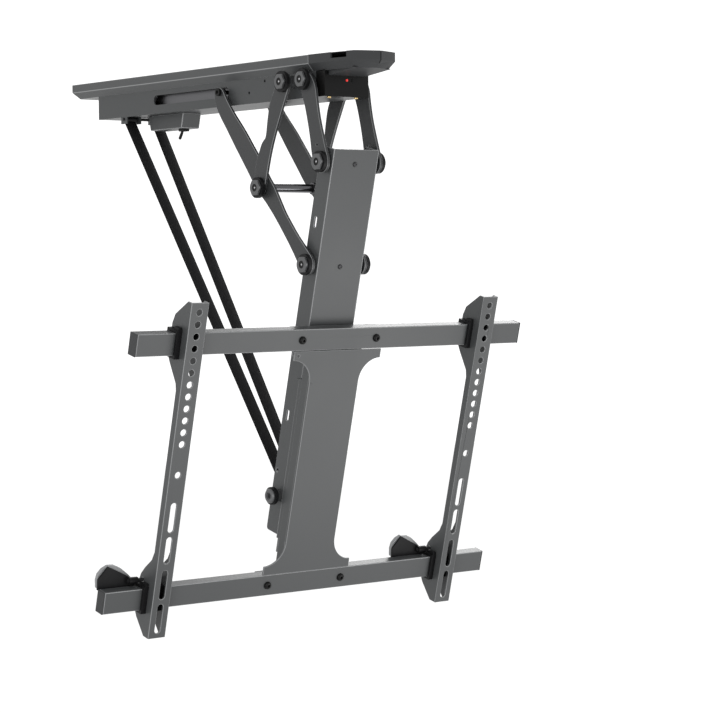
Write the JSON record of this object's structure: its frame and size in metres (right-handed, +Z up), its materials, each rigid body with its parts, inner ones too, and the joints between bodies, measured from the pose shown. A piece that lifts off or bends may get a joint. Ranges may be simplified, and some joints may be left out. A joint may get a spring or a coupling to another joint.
{
  "type": "motorised tv ceiling mount",
  "caption": "Flip-down ceiling mount for a flat television: a slim ceiling tray, a motor-driven strap linkage and a mast with rails and slotted arms.",
  "frame": {"origin": "centre of the ceiling face of the tray, between the four lag screw slots", "axes": "+Z up through the ceiling face, +X along the TV rails, the screen side faces -Y"},
  "size_m": [0.6548, 0.6937, 0.7684],
  "materials": {
    "cover_grey": "fine satin powder coat",
    "nose_grey": "satin moulded plastic",
    "body_grey": "fine texture powder coat",
    "gloss_black": "polished",
    "black_plastic": "fine grain",
    "steel": "zinc plated",
    "rod_black": "black chrome",
    "aluminium": "extruded",
    "brass": "plated",
    "led_red": "translucent",
    "board": "circuit board",
    "webbing": "woven"
  },
  "bodies": {
    "ceiling": {"ceiling_plate": "steel", "cover_skirt": "cover_grey", "cover_nose": "nose_grey", "channel": "body_grey", "front_cap": "gloss_black", "led_lens": "led_red", "ir_window": "gloss_black", "guide_rails": "aluminium", "drive_motor": "steel", "gearbox": "aluminium", "power_supply": "board", "winch_bearings": "steel", "roller_bracket": "body_grey", "control_box": "body_grey", "antenna": "black_plastic", "plate_screws": "brass", "fixed_pivots": "steel", "fixed_washers": "black_plastic"},
    "rollers": {"strap_rollers": "steel"},
    "winch": {"winch_spool": "steel"},
    "lift": {"lift_links": "body_grey", "cross_rod": "rod_black", "middle_pivots": "steel", "middle_washers": "black_plastic"},
    "arm": {"long_arms": "body_grey", "slider_bolts": "steel"},
    "front_link": {"front_links": "body_grey", "top_pivots": "steel", "top_washers": "black_plastic"},
    "mast": {"mast_channel": "body_grey", "mast_pivots": "steel", "mast_washers": "black_plastic", "mast_screws": "steel", "strap_axle": "steel", "spine_plate": "body_grey", "upper_rail": "body_grey", "lower_rail": "body_grey", "rail_end_caps": "black_plastic", "rail_screws": "steel"},
    "straps": {"strap_left": "webbing", "strap_right": "webbing"},
    "bracket_left": {"tv_arm_left": "body_grey", "liners_left": "black_plastic", "lever_pin_left": "steel"},
    "bracket_right": {"tv_arm_right": "body_grey", "liners_right": "black_plastic", "lever_pin_right": "steel"},
    "lever_left": {"lock_lever_left": "black_plastic"},
    "lever_right": {"lock_lever_right": "black_plastic"}
  },
  "joints": [
    {"name": "lift", "type": "hinge", "parent": "ceiling", "child": "lift", "pos_m": [0, -0.2026, -0.0329], "axis": [1, 0, 0], "range_deg": [0, 51]},
    {"name": "arm", "type": "hinge", "parent": "lift", "child": "arm", "pos_m": [0, -0.14472, -0.17334], "axis": [1, 0, 0], "range_deg": [-90.27, 0]},
    {"name": "mast", "type": "hinge", "parent": "arm", "child": "mast", "pos_m": [0, -0.24161, -0.27905], "axis": [1, 0, 0], "range_deg": [0, 111.18]},
    {"name": "front_link", "type": "hinge", "parent": "ceiling", "child": "front_link", "pos_m": [0, -0.241, -0.032], "axis": [1, 0, 0], "range_deg": [-47.94, 0]},
    {"name": "strap_swing", "type": "hinge", "parent": "ceiling", "child": "straps", "pos_m": [0, 0.2165, -0.059], "axis": [1, 0, 0], "range_deg": [0, 25.75], "deforming": ["strap_left", "strap_right"]},
    {"name": "winch_spin", "type": "hinge", "parent": "ceiling", "child": "winch", "pos_m": [0, 0.23758, -0.0363], "axis": [1, 0, 0], "continuous": true},
    {"name": "roller_spin", "type": "hinge", "parent": "ceiling", "child": "rollers", "pos_m": [0, 0.2165, -0.059], "axis": [1, 0, 0], "continuous": true},
    {"name": "bracket_left_slide", "type": "slide", "parent": "mast", "child": "bracket_left", "axis": [1, 0, 0], "range_m": [-0.045, 0.147]},
    {"name": "bracket_right_slide", "type": "slide", "parent": "mast", "child": "bracket_right", "axis": [1, 0, 0], "range_m": [-0.08, 0.045]},
    {"name": "lever_left_turn", "type": "hinge", "parent": "bracket_left", "child": "lever_left", "pos_m": [0, -0.15963, -0.69034], "axis": [1, 0, 0], "range_deg": [0, 80]},
    {"name": "lever_right_turn", "type": "hinge", "parent": "bracket_right", "child": "lever_right", "pos_m": [0, -0.15963, -0.69034], "axis": [1, 0, 0], "range_deg": [0, 80]}
  ],
  "couplings": [
    {"joint": "arm", "follows": "lift", "ratio": -1.77},
    {"joint": "mast", "follows": "lift", "ratio": 2.18},
    {"joint": "front_link", "follows": "lift", "ratio": -0.94},
    {"joint": "strap_swing", "follows": "lift", "ratio": 0.5049},
    {"joint": "winch_spin", "follows": "lift", "ratio": -64.7},
    {"joint": "roller_spin", "follows": "lift", "ratio": 153.6}
  ]
}
